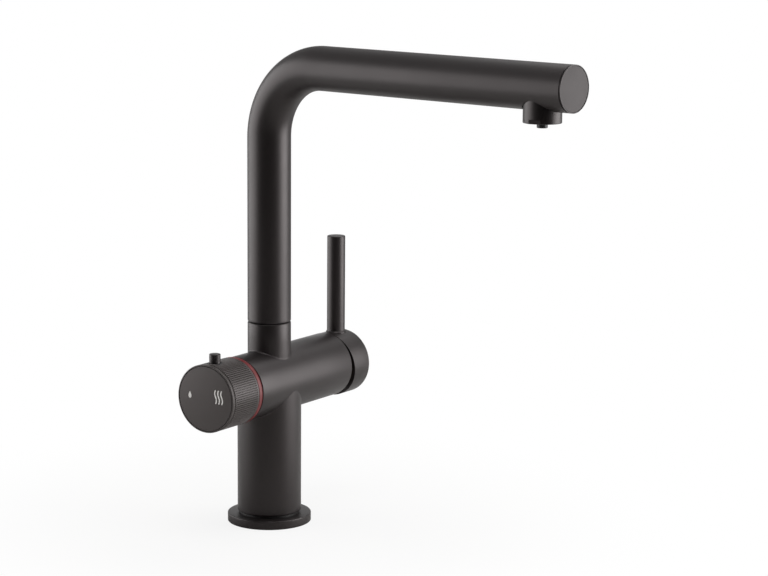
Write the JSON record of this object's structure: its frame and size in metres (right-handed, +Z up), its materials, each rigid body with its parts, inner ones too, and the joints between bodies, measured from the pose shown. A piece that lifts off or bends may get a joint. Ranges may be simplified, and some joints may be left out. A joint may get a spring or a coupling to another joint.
{
  "type": "boiling water tap",
  "caption": "Tall L-spout kitchen tap in matte black with a side mixer lever and a ridged knob with safety button for filtered and boiling water",
  "frame": {"origin": "centre of the flange's underside, on the worktop", "axes": "+Z up, -Y towards the user and the sink, +X towards the mixer lever, -X towards the boiling water knob"},
  "size_m": [0.1649, 0.2901, 0.3388],
  "materials": {
    "coated_black": "matte black powder coat",
    "coated_face": "matte black coat on a turned face",
    "brass": "machined",
    "copper_pipe": "drawn copper",
    "steel": "turned",
    "plastic_white": "moulded acetal",
    "plastic_black": "moulded",
    "rubber": "moulded",
    "ceramic": "lapped",
    "red_ring": "red enamel",
    "plastic_blue": "moulded acetal"
  },
  "bodies": {
    "body": {"base_flange": "coated_black", "base_seal": "rubber", "base_insert": "brass", "body_shell": "coated_black", "hot_pipe": "copper_pipe", "cold_pipe": "copper_pipe", "boiling_pipe": "steel", "filtered_pipe": "steel", "water_manifold": "brass", "cartridge_body": "plastic_white", "cartridge_seal": "rubber", "cartridge_fixed_disc": "ceramic", "cartridge_nut": "brass", "boiling_valve_body": "brass", "boiling_fixed_disc": "ceramic", "gland_nut": "brass", "accent_ring": "red_ring", "swivel_bushes": "plastic_white", "swivel_stop_screw": "steel"},
    "spout": {"spout_tube": "coated_black", "spout_shank": "brass", "shank_orings": "rubber", "inner_boiling_tube": "steel", "tube_spacers": "plastic_white", "spout_end_disc": "coated_face", "outlet_collar": "coated_black", "aerator": "plastic_black", "boiling_nozzle": "coated_black"},
    "knob": {"knob_sleeve": "coated_black", "knob_face": "coated_face", "knob_hub": "plastic_black", "knob_screw": "steel", "boiling_spindle": "steel", "spindle_oring": "rubber", "boiling_moving_disc": "ceramic", "button_guide": "plastic_black", "button_spring": "steel"},
    "button": {"safety_button": "coated_black"},
    "carrier": {"mixer_carrier": "plastic_white", "carrier_oring": "rubber", "stem_pivot_pin": "steel"},
    "lever": {"mixer_stem": "steel", "mixer_cap": "coated_black", "mixer_lever": "coated_black", "cap_grub_screw": "steel"},
    "disc": {"mixer_moving_disc": "ceramic", "disc_driver": "plastic_blue"}
  },
  "joints": [
    {"name": "spout_swivel", "type": "hinge", "parent": "body", "child": "spout", "pos_m": [0, 0, 0.144], "axis": [0, 0, 1], "range_deg": [-82.6, 97.4]},
    {"name": "boiling_knob_turn", "type": "hinge", "parent": "body", "child": "knob", "pos_m": [-0.06, 0, 0.1009], "axis": [1, 0, 0], "range_deg": [-90, 90]},
    {"name": "safety_button_press", "type": "slide", "parent": "knob", "child": "button", "axis": [0, 0, -1], "range_m": [0, 0.0025], "stiffness_N_per_m": 400, "deforming": ["button_spring"]},
    {"name": "mixer_temperature", "type": "hinge", "parent": "body", "child": "carrier", "pos_m": [0.0555, 0, 0.1009], "axis": [1, 0, 0], "range_deg": [-45, 45]},
    {"name": "mixer_flow", "type": "hinge", "parent": "carrier", "child": "lever", "pos_m": [0.0555, 0, 0.1009], "axis": [0, 1, 0], "range_deg": [0, 18]},
    {"name": "mixer_disc_slide", "type": "slide", "parent": "carrier", "child": "disc", "axis": [0, 0, 1], "range_m": [0, 0.005]}
  ],
  "couplings": [
    {"joint": "mixer_disc_slide", "follows": "mixer_flow", "m_per_rad": 0.0146}
  ]
}
